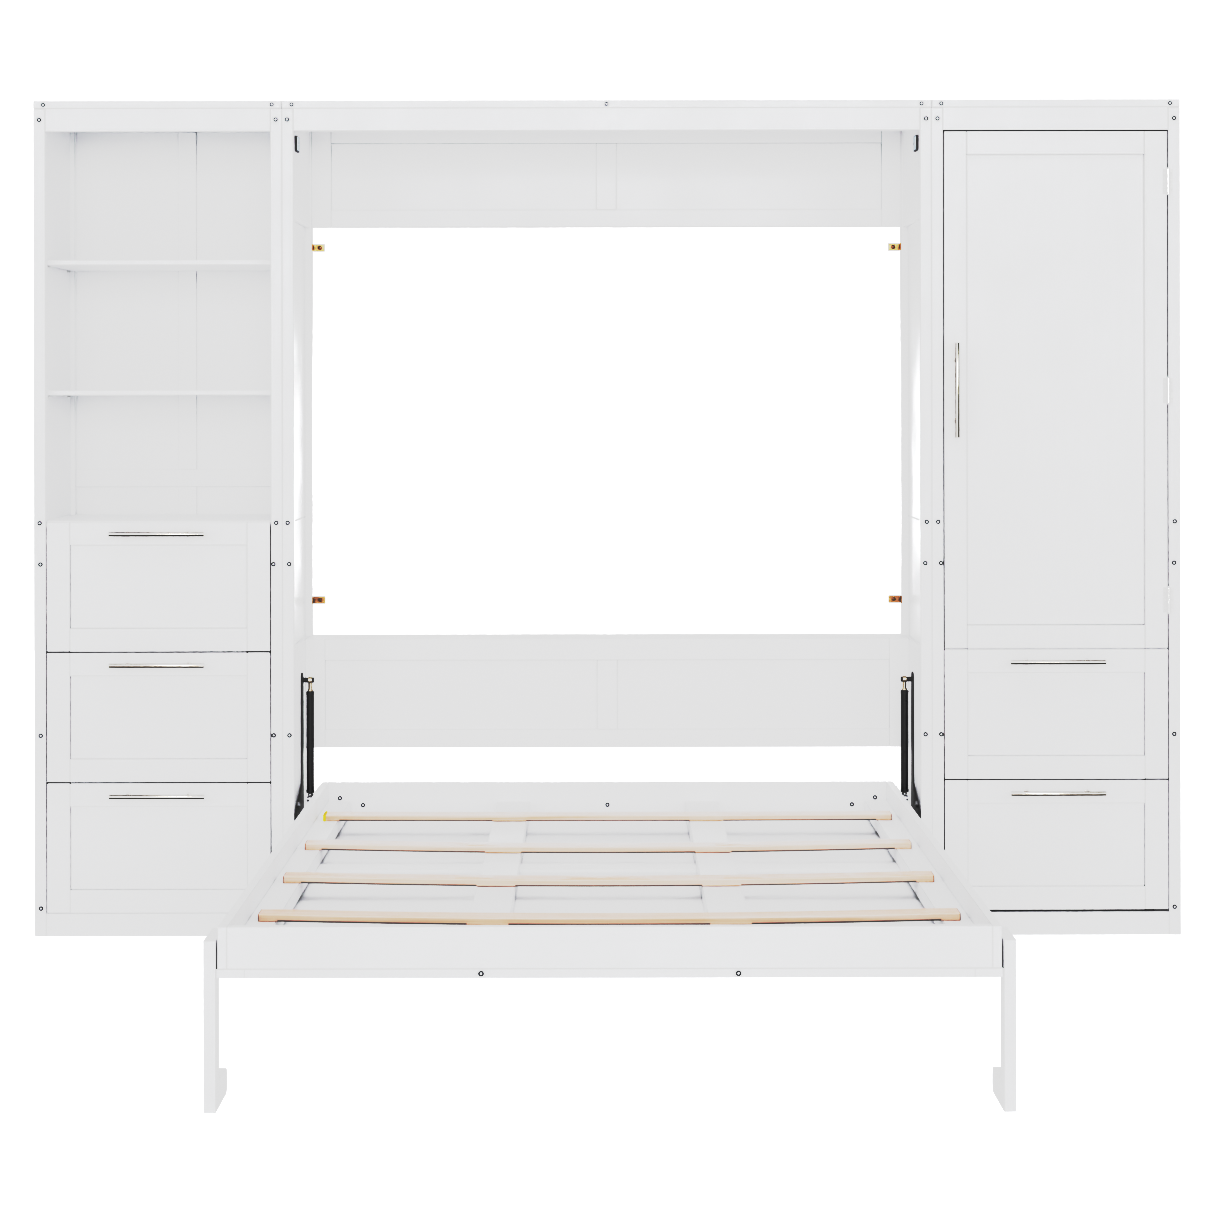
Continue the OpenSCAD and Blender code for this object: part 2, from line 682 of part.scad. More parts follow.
strut_rod(1);  // strut_rod_right
drawer_front(-1, 2);  // left_drawer_top_front
drawer_box(-1, 2);  // left_drawer_top_box
drawer_handle(-1, 2);  // left_drawer_top_handle
drawer_front(-1, 1);  // left_drawer_middle_front
drawer_box(-1, 1);  // left_drawer_middle_box
drawer_handle(-1, 1);  // left_drawer_middle_handle
drawer_front(-1, 0);  // left_drawer_bottom_front
drawer_box(-1, 0);  // left_drawer_bottom_box
drawer_handle(-1, 0);  // left_drawer_bottom_handle
drawer_front(1, 1);  // right_drawer_top_front
drawer_box(1, 1);  // right_drawer_top_box
drawer_handle(1, 1);  // right_drawer_top_handle
drawer_front(1, 0);  // right_drawer_bottom_front
drawer_box(1, 0);  // right_drawer_bottom_box
drawer_handle(1, 0);  // right_drawer_bottom_handle
door();
door_handle();
door_hinge_moving();
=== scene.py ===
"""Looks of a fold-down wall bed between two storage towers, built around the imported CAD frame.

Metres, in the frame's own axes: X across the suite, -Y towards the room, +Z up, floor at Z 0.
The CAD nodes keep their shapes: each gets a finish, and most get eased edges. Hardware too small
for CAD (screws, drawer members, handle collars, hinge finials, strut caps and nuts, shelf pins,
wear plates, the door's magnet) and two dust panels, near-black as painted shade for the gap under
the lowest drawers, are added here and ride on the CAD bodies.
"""

import math
import random

import bmesh
import bpy
from mathutils import Matrix, Vector


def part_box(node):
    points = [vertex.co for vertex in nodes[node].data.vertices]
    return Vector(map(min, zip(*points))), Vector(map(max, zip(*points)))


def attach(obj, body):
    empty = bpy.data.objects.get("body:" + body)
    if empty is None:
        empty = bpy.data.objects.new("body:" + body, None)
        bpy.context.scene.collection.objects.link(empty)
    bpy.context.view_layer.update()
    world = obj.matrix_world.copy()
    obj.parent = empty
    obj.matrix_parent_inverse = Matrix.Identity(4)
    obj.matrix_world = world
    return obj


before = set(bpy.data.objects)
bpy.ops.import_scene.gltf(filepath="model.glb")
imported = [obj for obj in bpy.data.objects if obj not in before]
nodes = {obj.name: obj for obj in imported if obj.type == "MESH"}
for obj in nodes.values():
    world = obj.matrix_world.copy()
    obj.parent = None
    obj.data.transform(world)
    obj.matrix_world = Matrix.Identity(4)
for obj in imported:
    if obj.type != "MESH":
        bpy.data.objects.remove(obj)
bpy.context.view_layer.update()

Z_AXIS = Vector((0, 0, 1))
LEFT_DRAWERS = ["left_drawer_top", "left_drawer_middle", "left_drawer_bottom"]
RIGHT_DRAWERS = ["right_drawer_top", "right_drawer_bottom"]
DRAWERS = LEFT_DRAWERS + RIGHT_DRAWERS
front_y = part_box("left_tower_frame")[0].y  # the suite's front plane
rng = random.Random(7)  # turns each screw's cross by its own angle
JOIN = 0.00002  # corners closer than this are one corner


# ---- node-tree helpers ---------------------------------------------------------------------

class Tree:
    """A material's node tree with short calls for the nodes used here."""

    def __init__(self, name):
        self.material = bpy.data.materials.new(name)
        self.material.use_nodes = True
        self.nodes = self.material.node_tree.nodes
        self.links = self.material.node_tree.links
        self.nodes.clear()
        self.shader = self.nodes.new("ShaderNodeBsdfPrincipled")
        output = self.nodes.new("ShaderNodeOutputMaterial")
        self.links.new(self.shader.outputs["BSDF"], output.inputs["Surface"])
        self.coords = self.nodes.new("ShaderNodeTexCoord").outputs["Object"]

    def set(self, **values):
        """Constant values on the shader's own sockets; an underscore stands for a space."""
        for name, value in values.items():
            self.shader.inputs[name.replace("_", " ")].default_value = value

    def link(self, socket, name):
        self.links.new(socket, self.shader.inputs[name])

    def scaled(self, scale, turn=(0, 0, 0), move=(0, 0, 0)):
        """Object coordinates in metres, scaled along each axis."""
        node = self.nodes.new("ShaderNodeMapping")
        node.inputs["Scale"].default_value = scale
        node.inputs["Rotation"].default_value = turn
        node.inputs["Location"].default_value = move
        self.links.new(self.coords, node.inputs["Vector"])
        return node.outputs["Vector"]

    def noise(self, vector, scale=1.0, detail=4.0, roughness=0.5, distortion=0.0):
        node = self.nodes.new("ShaderNodeTexNoise")
        node.inputs["Scale"].default_value = scale
        node.inputs["Detail"].default_value = detail
        node.inputs["Roughness"].default_value = roughness
        node.inputs["Distortion"].default_value = distortion
        self.links.new(vector, node.inputs["Vector"])
        return node.outputs["Fac"]

    def wave(self, vector, scale, distortion, detail, direction):
        """Soft parallel bands that follow one another along a direction."""
        node = self.nodes.new("ShaderNodeTexWave")
        node.wave_type = "BANDS"
        node.bands_direction = direction
        node.inputs["Scale"].default_value = scale
        node.inputs["Distortion"].default_value = distortion
        node.inputs["Detail"].default_value = detail
        node.inputs["Detail Scale"].default_value = 1.2
        self.links.new(vector, node.inputs["Vector"])
        return node.outputs["Fac"]

    def spread(self, socket, low, high, from_low=0.3, from_high=0.7):
        """Maps a pattern's middle range to low..high."""
        node = self.nodes.new("ShaderNodeMapRange")
        node.inputs["From Min"].default_value = from_low
        node.inputs["From Max"].default_value = from_high
        node.inputs["To Min"].default_value = low
        node.inputs["To Max"].default_value = high
        self.links.new(socket, node.inputs["Value"])
        return node.outputs["Result"]

    def ramp(self, socket, stops):
        """Colour ramp through (position, (r, g, b)) stops."""
        node = self.nodes.new("ShaderNodeValToRGB")
        elements = node.color_ramp.elements
        while len(elements) < len(stops):
            elements.new(0.5)
        for element, (position, colour) in zip(elements, stops):
            element.position = position
            element.color = (*colour, 1)
        self.links.new(socket, node.inputs["Fac"])
        return node.outputs["Color"]

    def mix(self, factor, a, b, blend="MIX"):
        """Mixes two colours; a, b and factor are sockets or plain values."""
        node = self.nodes.new("ShaderNodeMix")
        node.data_type = "RGBA"
        node.blend_type = blend
        for name, value in (("Factor_Float", factor), ("A_Color", a), ("B_Color", b)):
            socket = next(s for s in node.inputs if s.identifier == name)
            if isinstance(value, bpy.types.NodeSocket):
                self.links.new(value, socket)
            else:
                socket.default_value = (*value, 1) if isinstance(value, tuple) else value
        return next(s for s in node.outputs if s.identifier == "Result_Color")

    def math(self, kind, a, b):
        node = self.nodes.new("ShaderNodeMath")
        node.operation = kind
        for socket, value in zip(node.inputs, (a, b)):
            if isinstance(value, bpy.types.NodeSocket):
                self.links.new(value, socket)
            else:
                socket.default_value = value
        return node.outputs[0]

    def bump(self, height, strength, distance):
        node = self.nodes.new("ShaderNodeBump")
        node.inputs["Strength"].default_value = strength
        node.inputs["Distance"].default_value = distance
        self.links.new(height, node.inputs["Height"])
        self.link(node.outputs["Normal"], "Normal")

    def axis(self, name):
        """One coordinate of the object's own space, in metres."""
        node = self.nodes.new("ShaderNodeSeparateXYZ")
        self.links.new(self.coords, node.inputs["Vector"])
        return node.outputs[name]


def along(axis, long_scale, cross_scale):
    """A scale that stretches a pattern along one axis."""
    return tuple(long_scale if name == axis else cross_scale for name in "xyz")


# ---- finishes ------------------------------------------------------------------------------

def paint(name, tone, grain="z", edge=None):
    """Satin white paint on wood: roller texture over faint grain, softly uneven in tone.
    edge is the (down, side, up) tone of an eased edge, set by the way the edge faces: painted
    shade on the lower and side arrises and a painted highlight on the upper ones."""
    t = Tree(name)
    cloud = t.noise(t.scaled((1, 1, 1)), 2.6, 3, 0.55)
    fibre = t.noise(t.scaled(along(grain, 3, 55)), 1.0, 5, 0.6, 0.6)
    dark = tuple(c * 0.976 for c in tone)
    light = tuple(min(1.0, c * 1.012) for c in tone)
    colour = t.mix(t.spread(cloud, 0, 1), dark, light)
    colour = t.mix(t.spread(fibre, 0.0, 0.35), colour, tuple(c * 0.972 for c in tone))
    if edge:
        # Painted shade and highlight: eased edges darker facing down and sideways, lighter facing
        # up.
        facing = t.nodes.new("ShaderNodeNewGeometry").outputs["Normal"]
        split = t.nodes.new("ShaderNodeSeparateXYZ")
        t.links.new(facing, split.inputs["Vector"])
        level = t.spread(split.outputs["Z"], 0.0, 1.0, -1.0, 1.0)
        side = t.math("ABSOLUTE", split.outputs["X"], 0.0)
        down, across, up = ((value,) * 3 for value in edge)
        painted_shade_by_facing = t.ramp(level, [(0.15, down), (0.38, (0.97, 0.97, 0.97)), (0.62, (0.97, 0.97, 0.97)),
                               (0.85, up)])
        sided = t.mix(t.spread(side, 0.0, 1.0, 0.2, 0.6), painted_shade_by_facing, across)
        colour = t.mix(1.0, colour, sided, "MULTIPLY")
    t.link(colour, "Base Color")
    smear = t.noise(t.scaled((1, 1, 1), move=(3, 1, 2)), 7.0, 4, 0.6)
    t.link(t.spread(smear, 0.36, 0.47), "Roughness")
    roller = t.noise(t.scaled((1, 1, 1)), 420.0, 3, 0.6)
    height = t.math("ADD", t.math("MULTIPLY", roller, 0.45), t.math("MULTIPLY", fibre, 0.55))
    t.bump(height, 0.16, 0.0006)
    t.set(Specular_IOR_Level=0.45)
    return t.material


def enamel(name, tone):
    """Glossy light enamel or plastic on small parts."""
    t = Tree(name)
    cloud = t.noise(t.scaled((1, 1, 1)), 60.0, 3, 0.5)
    t.link(t.mix(t.spread(cloud, 0, 1), tuple(c * 0.97 for c in tone), tone), "Base Color")
    t.link(t.spread(t.noise(t.scaled((1, 1, 1)), 25.0, 2), 0.24, 0.36), "Roughness")
    t.bump(t.noise(t.scaled((1, 1, 1)), 900.0, 2), 0.08, 0.0003)
    t.set(Specular_IOR_Level=0.5)
    return t.material


def metal(name, tone, roughness, brush=None, spots=0.0, metallic=1.0):
    """Bare or plated metal. brush is the axis that fine brushing lines run along; spots darkens
    the plating in small clouds; metallic is lower where plating is dull or dusty."""
    t = Tree(name)
    scale = along(brush, 6, 1400) if brush else (300, 300, 300)
    lines = t.noise(t.scaled(scale), 1.0, 4, 0.65)
    cloud = t.noise(t.scaled((1, 1, 1), move=(5, 5, 5)), 90.0, 4, 0.6)
    colour = t.mix(t.spread(lines, 0, 1), tuple(c * 0.88 for c in tone), tone)
    colour = t.mix(t.spread(cloud, 0.0, spots), colour, tuple(c * 0.62 for c in tone))
    t.link(colour, "Base Color")
    t.link(t.spread(lines, roughness * 0.82, roughness * 1.25), "Roughness")
    t.bump(lines, 0.12, 0.0004)
    t.set(Metallic=metallic)
    return t.material


def handle_metal(name, axis):
    """Brushed steel bar along one axis, darker along its underside and faintly along its top:
    the shade side of a polished bar. Generated coordinates run 0 to 1 across the bar."""
    t = Tree(name)
    generated = t.nodes.new("ShaderNodeTexCoord").outputs["Generated"]
    split = t.nodes.new("ShaderNodeSeparateXYZ")
    t.links.new(generated, split.inputs["Vector"])
    across = split.outputs["Z"] if axis == "x" else split.outputs["X"]
    if axis == "z":
        across = t.math("SUBTRACT", 1.0, across)
    lines = t.noise(t.scaled(along(axis, 6, 1400)), 1.0, 4, 0.65)
    tone = t.ramp(across, [(0.0, (0.03, 0.026, 0.02)), (0.34, (0.045, 0.04, 0.032)),
                           (0.44, (0.70, 0.68, 0.63)), (0.74, (0.74, 0.72, 0.68)),
                           (0.86, (0.26, 0.25, 0.24)), (1.0, (0.30, 0.29, 0.28))])
    t.link(t.mix(t.spread(lines, 0.0, 0.25), tone, (0.30, 0.29, 0.27)), "Base Color")
    t.link(t.spread(lines, 0.24, 0.36), "Roughness")
    t.bump(lines, 0.1, 0.0003)
    t.set(Metallic=1.0)
    return t.material


def hinge_finish(name, proud_y, tone):
    """White enamelled leaves whose knuckle, standing forward of proud_y, is polished steel."""
    t = Tree(name)
    knuckle = t.math("LESS_THAN", t.axis("Y"), proud_y)
    cloud = t.noise(t.scaled((1, 1, 1)), 60.0, 3, 0.5)
    leaf = t.mix(t.spread(cloud, 0, 1), (tone * 0.94,) * 3, (tone,) * 3)
    t.link(t.mix(knuckle, leaf, (0.93, 0.93, 0.92)), "Base Color")
    t.link(knuckle, "Metallic")
    t.link(t.spread(t.noise(t.scaled((1, 1, 1)), 25.0, 2), 0.24, 0.34), "Roughness")
    t.bump(t.noise(t.scaled((1, 1, 1)), 900.0, 2), 0.05, 0.0002)
    return t.material


def powder_coat(name, tone, roughness=0.42):
    """Black powder coat: fine orange peel, a little dust in the tone and a soft sheen. Returns
    the tree, so that a finish can be built on it."""
    t = Tree(name)
    peel = t.noise(t.scaled((1, 1, 1)), 700.0, 3, 0.55)
    dust = t.noise(t.scaled((1, 1, 1), move=(2, 7, 1)), 35.0, 5, 0.7)
    colour = t.mix(t.spread(dust, 0.0, 0.5), tone, tuple(c * 1.9 + 0.006 for c in tone))
    t.link(colour, "Base Color")
    t.link(t.spread(dust, roughness * 0.85, roughness * 1.2), "Roughness")
    t.bump(peel, 0.25, 0.0005)
    return t


def strut_finish(name, body_tone, low_z, high_z, end_tone):
    """Black tube whose end fittings, below low_z and above high_z, are bare metal."""
    t = powder_coat(name, body_tone, 0.3)
    z = t.axis("Z")
    end = t.math("ADD", t.math("LESS_THAN", z, low_z), t.math("GREATER_THAN", z, high_z))
    base = t.shader.inputs["Base Color"].links[0].from_socket
    grain = t.noise(t.scaled((1, 1, 1)), 500.0, 2)
    fitting = t.mix(t.spread(grain, 0, 1), tuple(c * 0.85 for c in end_tone), end_tone)
    t.link(t.mix(end, base, fitting), "Base Color")
    t.link(end, "Metallic")
    return t.material


def slat_wood(name, top, rows, sag, half, half_length):
    """Pale laminated softwood: long growth lines, fine fibres and plies on the edges. The sides
    below the top arris are browner. A painted shadow darkens the lowest ply between the slats'
    supports and follows the sag, and a painted shadow darkens the ends too. top is the slats' upper
    side, rows their places in Y from the head end, and sag how far the others and then the first
    hang at the middle.
    the middle to a ledger, and half_length that to a slat's end."""
    board_x, board_half = 0.256, 0.044  # the lengthwise boards under the slats
    # Band of painted shadow under each slat, measured down from the top.
    under_shadow_from, under_shadow_to = top - 0.0128, top - 0.0118
    arris_from, arris_to = top - 0.0026, top - 0.0014
    side_browns = [(0.3, (0.36, 0.29, 0.245)), (0.5, (0.43, 0.333, 0.285)),
                  (0.7, (0.51, 0.372, 0.325))]
    # Tone of the painted shadow under the slats and at their ends.
    painted_shadow_tone = (0.10, 0.11, 0.11)
    t = Tree(name)
    drift = t.noise(t.scaled((1.1, 9, 9)), 1.0, 3, 0.5)
    growth = t.noise(t.scaled((1.3, 38, 90)), 1.0, 6, 0.62, 0.5)
    fibre = t.noise(t.scaled((9, 420, 420)), 1.0, 4, 0.65)
    plies = t.wave(t.scaled((0.35, 4, 62)), 1.0, 1.4, 3, "Z")
    pale = t.ramp(growth, [
        (0.28, (0.60, 0.40, 0.33)), (0.42, (0.74, 0.46, 0.38)),
        (0.58, (0.82, 0.52, 0.435)), (0.76, (0.88, 0.58, 0.495))])
    warm = t.mix(t.spread(drift, 0.0, 0.4), pale, (0.69, 0.435, 0.36))
    plied = t.mix(t.spread(plies, 0.15, 0.0, 0.0, 0.35), warm, (0.62, 0.44, 0.36))
    fine = t.mix(t.spread(fibre, 0.12, 0.0), plied, (0.62, 0.44, 0.36))
    x = t.math("DIVIDE", t.axis("X"), half)
    bow = t.math("SUBTRACT", t.math("MULTIPLY", x, x), 1.0)
    depth = t.spread(t.axis("Y"), sag[0], sag[1], rows[1], rows[0])
    rise = t.math("SUBTRACT", t.axis("Z"), t.math("MULTIPLY", t.math("MINIMUM", bow, 0.0), depth))
    off_middle = t.math("ABSOLUTE", t.axis("X"), 0.0)
    on_board = t.math("COMPARE", off_middle, board_x)
    on_board.node.inputs[2].default_value = board_half
    free = t.math("SUBTRACT", t.math("LESS_THAN", off_middle, half - 0.001), on_board)
    # Painted shadow under each slat, left off where it rests on a ledger or a board.
    painted_under_shadow = t.math("MULTIPLY", t.spread(rise, 0.85, 0.0, under_shadow_from, under_shadow_to), free)
    # Painted shadow at each slat's ends.
    ends = t.spread(off_middle, 0.0, 0.8, half_length - 0.0022, half_length - 0.0014)
    below_arris = t.spread(rise, 0.92, 0.0, arris_from, arris_to)
    sided = t.mix(below_arris, fine, t.ramp(growth, side_browns))
    t.link(t.mix(t.math("MAXIMUM", painted_under_shadow, ends), sided, painted_shadow_tone), "Base Color")
    t.link(t.spread(fibre, 0.42, 0.58), "Roughness")
    t.bump(t.math("ADD", growth, t.math("MULTIPLY", fibre, 0.5)), 0.22, 0.0006)
    t.set(Specular_IOR_Level=0.35)
    return t.material


def hardboard(name, tone):
    """Dull brown pressed board with a fine mottled surface."""
    t = Tree(name)
    mottle = t.noise(t.scaled((1, 1, 1)), 260.0, 4, 0.6)
    t.link(t.mix(t.spread(mottle, 0, 1), tuple(c * 0.8 for c in tone), tone), "Base Color")
    t.link(t.spread(mottle, 0.5, 0.7), "Roughness")
    t.bump(mottle, 0.2, 0.0004)
    return t.material


def tape(name, tone):
    """Woven fabric tape: two crossing thread directions."""
    t = Tree(name)
    warp = t.wave(t.scaled((1, 1, 1)), 520.0, 0.4, 1, "Z")
    weft = t.wave(t.scaled((1, 1, 1)), 520.0, 0.4, 1, "Y")
    weave = t.math("MULTIPLY", warp, weft)
    t.link(t.mix(weave, tuple(c * 0.72 for c in tone), tone), "Base Color")
    t.bump(weave, 0.5, 0.0004)
    t.set(Roughness=0.75)
    return t.material


WHITE = (0.875, 0.878, 0.888)
PAINTS = {axis: paint("white_paint_" + axis, WHITE, axis) for axis in "xyz"}
# Painted shade on eased edges facing down and sideways, and a painted highlight on those facing up.
EDGE_PAINTED_SHADE = (0.12, 0.36, 1.13)  # facing down, sideways and up
EDGES_WITH_PAINTED_SHADE = {axis: paint("white_paint_edge_painted_shade_" + axis, WHITE, axis, EDGE_PAINTED_SHADE) for axis in "xyz"}
# Every other distinct Y from the head end: the slats' head-side edges, first slat first.
slat_rows = sorted({round(v.co.y, 3) for v in nodes["bed_slats"].data.vertices})[::-2]
slat_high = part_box("bed_slats")[1]
SLAT_SAG = (0.009, 0.0015)  # of the other slats, and of the one nearest the head
LEDGER_X = 0.699
SLATS = slat_wood("slat_pine", slat_high.z, slat_rows, SLAT_SAG, LEDGER_X, slat_high.x)
STEEL = {axis: metal("brushed_steel_" + axis, (0.66, 0.63, 0.59), 0.27, axis) for axis in "xyz"}
HANDLES = {axis: handle_metal("handle_steel_" + axis, axis) for axis in "xz"}
DARK_ZINC = metal("dark_zinc", (0.065, 0.067, 0.074), 0.42, None, 0.3, 0.45)
BLUED = metal("blued_steel", (0.50, 0.57, 0.63), 0.3, "z")
ZINC = metal("bright_zinc", (0.60, 0.605, 0.62), 0.3, None, 0.35)
YELLOW_ZINC = metal("yellow_zinc", (0.30, 0.215, 0.145), 0.36, None, 0.5)
BRASS = metal("brass_fitting", (0.42, 0.38, 0.32), 0.3, None, 0.3)
BLACK = powder_coat("black_powder_coat", (0.018, 0.018, 0.021)).material
WHITE_METAL = enamel("white_enamel", (0.80, 0.80, 0.80))
WHITE_PLASTIC = enamel("white_plastic", (0.78, 0.78, 0.77))
BOLT_PIN = enamel("bright_bolt_pin", (0.90, 0.91, 0.93))
# Near-black board for the dust panels: its darkness is painted shade for the gap below the lowest
# drawers.
GAP_SHADE_HARDBOARD = hardboard("gap_shade_hardboard", (0.035, 0.028, 0.022))
YELLOW_TAPE = tape("yellow_tape", (0.80, 0.55, 0.04))


# ---- CAD nodes: finishes and eased edges -----------------------------------------------------

def ease(node, width, angle=40, segments=2):
    """Joins the loaded mesh's split corners and rounds its sharp edges by a small amount. The
    rounded strips take the node's second material."""
    o = nodes[node]
    weld = o.modifiers.new("join", "WELD")
    weld.merge_threshold = JOIN
    bevel = o.modifiers.new("ease", "BEVEL")
    bevel.width = width
    bevel.segments = segments
    bevel.limit_method = "ANGLE"
    bevel.angle_limit = math.radians(angle)
    bevel.harden_normals = True
    if len(o.data.materials) > 1:
        bevel.material = 1


def finish(node, *materials):
    """Gives a node its materials: the one for its faces, then the one for its eased edges."""
    slots = nodes[node].data.materials
    slots.clear()
    for material in materials:
        slots.append(material)


# White-painted nodes by the axis that their grain runs along.
PAINTED = {
    "z": ["left_tower_frame", "left_tower_sides", "left_tower_back", "right_tower_frame",
          "right_tower_sides", "right_tower_back", "centre_frame", "centre_sides",
          "leg_left", "leg_right", "door"],
    "x": ["left_tower_top", "left_fixed_shelf", "left_loose_shelves", "right_tower_top",
          "right_fixed_shelf", "centre_top", "upper_back_panel", "headboard",
          "headboard_ledge", "bed_head_rail", "bed_foot_rail"]
         + [d + "_front" for d in DRAWERS] + [d + "_box" for d in DRAWERS],
    "y": ["bed_face_frame", "bed_face_panels", "bed_side_rails", "bed_ledgers",
          "bed_centre_boards"],
}
FRAMED_PANELS = ["door", "upper_back_panel", "headboard"] + [d + "_front" for d in DRAWERS]
BOARD_EASE, PANEL_EASE = 0.0009, 0.0018
for axis, names in PAINTED.items():
    for name in names:
        finish(name, PAINTS[axis], EDGES_WITH_PAINTED_SHADE[axis])
        ease(name, PANEL_EASE if name in FRAMED_PANELS else BOARD_EASE)

finish("bed_slats", SLATS)
ease("bed_slats", 0.0018)
for drawer in DRAWERS:
    finish(drawer + "_handle", HANDLES["x"])
    ease(drawer + "_handle", 0.0006, 60)
finish("door_handle", HANDLES["z"])
ease("door_handle", 0.0006, 60)
for name in ("left_drawer_runners", "right_drawer_runners"):
    finish(name, STEEL["y"])
finish("hanging_rail", STEEL["x"])
for name in ("frame_bolts", "bed_bolts"):
    finish(name, DARK_ZINC)
for name in ("strut_rod_left", "strut_rod_right"):
    finish(name, ZINC)
finish("wall_brackets", YELLOW_ZINC)
ease("wall_brackets", 0.0005)
for name in ("catch_plates", "pivot_plates", "bed_hinge_arms"):
    finish(name, BLACK)
    ease(name, 0.0004, 60)
# The moving leaf's lower tone is painted shade on the same white enamel as the fixed leaf.
for name, tone in (("door_hinge_fixed", 0.86), ("door_hinge_moving", 0.60)):
    finish(name, hinge_finish(name + "_finish", front_y - 0.0022, tone))

tube_low, tube_high = 0.352, 0.626  # the black part of each strut's tube
for side in ("left", "right"):
    finish("strut_tube_" + side, strut_finish(
        "strut_tube_finish_" + side, (0.012, 0.012, 0.014), tube_low - 0.001, tube_high + 0.0005,
        (0.46, 0.42, 0.36)))


# ---- mesh helpers ----------------------------------------------------------------------------

def new_piece(name, bm, material, body, ease_width=0.0):
    """Turns a bmesh into a piece that rides on a CAD body."""
    bmesh.ops.recalc_face_normals(bm, faces=bm.faces)
    mesh = bpy.data.meshes.new(name)
    bm.to_mesh(mesh)
    bm.free()
    mesh.materials.append(material)
    o = bpy.data.objects.new(name, mesh)
    bpy.context.scene.collection.objects.link(o)
    mesh.set_sharp_from_angle(angle=math.radians(35))
    mesh.shade_smooth()
    if ease_width:
        bevel = o.modifiers.new("ease", "BEVEL")
        bevel.width = ease_width
        bevel.segments = 2
        bevel.limit_method = "ANGLE"
        bevel.angle_limit = math.radians(50)
        bevel.harden_normals = True
    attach(o, body)
    return o


def turned(axis):
    """Rotation that takes +Z to an axis."""
    return axis.to_track_quat("Z", "Y").to_matrix().to_4x4()


def lathe(bm, place, axis, profile, segments=32):
    """Adds a solid of revolution: profile is (radius, height) pairs along the axis from place."""
    frame_matrix = Matrix.Translation(place) @ turned(Vector(axis))
    rings = []
    for radius, height in profile:
        rings.append([bm.verts.new(frame_matrix @ Vector((
            radius * math.cos(2 * math.pi * k / segments),
            radius * math.sin(2 * math.pi * k / segments), height))) for k in range(segments)])
    for low, high in zip(rings, rings[1:]):
        for k in range(segments):
            n = (k + 1) % segments
            bm.faces.new((low[k], low[n], high[n], high[k]))
    bm.faces.new(rings[0][::-1])
    bm.faces.new(rings[-1])


def drum(bm, place, axis, radius, length, ease_by=0.0004, segments=32):
    """Adds a short cylinder with eased rims."""
    lathe(bm, place, axis, [(radius - ease_by, 0), (radius, ease_by), (radius, length - ease_by),
                            (radius - ease_by, length)], segments)


def block(bm, low, high):
    """Adds a board-like solid by its corners."""
    made = bmesh.ops.create_cube(bm, size=1.0)["verts"]
    low, high = Vector(low), Vector(high)
    for v in made:
        v.co = Vector(l + (c + 0.5) * (h - l) for l, c, h in zip(low, v.co, high))


def channel(bm, outline, y0, y1):
    """Adds a profile in the X-Z plane extruded from y0 to y1."""
    ends = [[bm.verts.new((x, y, z)) for x, z in outline] for y in (y0, y1)]
    count = len(outline)
    for k in range(count):
        n = (k + 1) % count
        bm.faces.new((ends[0][k], ends[0][n], ends[1][n], ends[1][k]))
    bm.faces.new(ends[0][::-1])
    bm.faces.new(ends[1])


def screw_pattern():
    """One round-headed screw of radius 1 with a tapered cross recess, as a mesh to copy."""
    bm = bmesh.new()
    dome = [(1.0, 0.0), (1.0, 0.10), (0.96, 0.24), (0.84, 0.37), (0.64, 0.46), (0.36, 0.515),
            (0.12, 0.53)]
    lathe(bm, (0, 0, 0), Z_AXIS, dome, 32)
    head = bpy.data.meshes.new("screw_head")
    bm.to_mesh(head)
    bm.free()
    bm = bmesh.new()
    mouth, floor_of_recess = (0.56, 0.13, 0.6), (0.2, 0.091, 0.2)  # half length, half width, z
    for turn in (0, 90):
        arm = bmesh.ops.create_cube(bm, size=1.0)["verts"]
        for v in arm:
            length, width, z = mouth if v.co.z > 0 else floor_of_recess
            v.co = Vector((2 * v.co.x * length, 2 * v.co.y * width, z))
        bmesh.ops.rotate(bm, verts=arm, matrix=Matrix.Rotation(math.radians(turn), 3, "Z"))
    cutter_mesh = bpy.data.meshes.new("screw_recess")
    bm.to_mesh(cutter_mesh)
    bm.free()
    head_o = bpy.data.objects.new("screw_head", head)
    cutter = bpy.data.objects.new("screw_recess", cutter_mesh)
    for o in (head_o, cutter):
        bpy.context.scene.collection.objects.link(o)
    cut = head_o.modifiers.new("recess", "BOOLEAN")
    cut.operation = "DIFFERENCE"
    cut.object = cutter
    cut.use_self = True
    bpy.context.view_layer.update()
    evaluated = head_o.evaluated_get(bpy.context.evaluated_depsgraph_get())
    result = bpy.data.meshes.new_from_object(evaluated)
    for o in (head_o, cutter):
        bpy.data.objects.remove(o)
    return result


def screws(bm, pattern, places, axis, radius):
    """Adds copies of the screw at each place, facing along axis, each turned by its own angle."""
    for place in places:
        spin = Matrix.Rotation(rng.uniform(0, math.pi), 4, "Z")
        size = Matrix.Diagonal((radius, radius, radius, 1))
        copy = pattern.copy()
        copy.transform(Matrix.Translation(place) @ turned(Vector(axis)) @ spin @ size)
        bm.from_mesh(copy)
        bpy.data.meshes.remove(copy)


def levels(node, axis):
    """The distinct coordinates of a node's corners along one axis, lowest first."""
    found = sorted({round(v.co[axis], 4) for v in nodes[node].data.vertices})
    return [a for i, a in enumerate(found) if i == 0 or a - found[i - 1] > 0.0003]


# ---- hardware added to the CAD frame ---------------------------------------------------------

